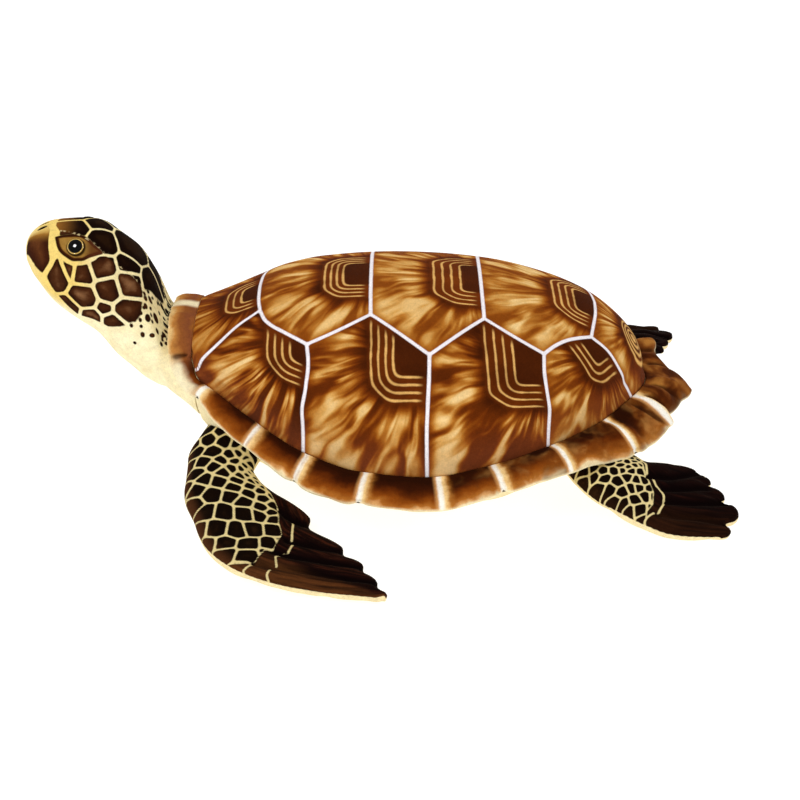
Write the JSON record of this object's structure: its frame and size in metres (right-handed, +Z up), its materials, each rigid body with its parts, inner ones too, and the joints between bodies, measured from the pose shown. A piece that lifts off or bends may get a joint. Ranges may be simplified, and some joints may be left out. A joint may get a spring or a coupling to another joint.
{
  "type": "plush sea turtle toy",
  "caption": "Stuffed fabric sea turtle toy with a printed domed shell, a padded rim, a raised head, swimming flippers and plastic eyes; it rests on its belly.",
  "frame": {"origin": "on the flat of the belly that rests on the floor, under the middle of the shell", "axes": "+X towards the tail, +Z up; the head points to -X and the toy's left side is -Y"},
  "size_m": [0.4943, 0.401, 0.1896],
  "materials": {
    "shell_print": "short-pile plush with a printed scute pattern",
    "rim_print": "short-pile plush with a printed band pattern",
    "cream_plush": "plain cream short-pile plush",
    "head_print": "short-pile plush with a printed scale pattern",
    "flipper_print": "short-pile plush with a printed scale pattern, cream below",
    "eye_plastic": "polished black dome with a golden ring"
  },
  "bodies": {
    "root": {"shell": "shell_print", "shell_rim": "rim_print", "belly": "cream_plush", "head_neck": "head_print", "front_flipper_left": "flipper_print", "front_flipper_right": "flipper_print", "rear_flipper_left": "flipper_print", "rear_flipper_right": "flipper_print", "eye_left": "eye_plastic", "eye_right": "eye_plastic"}
  },
  "joints": []
}
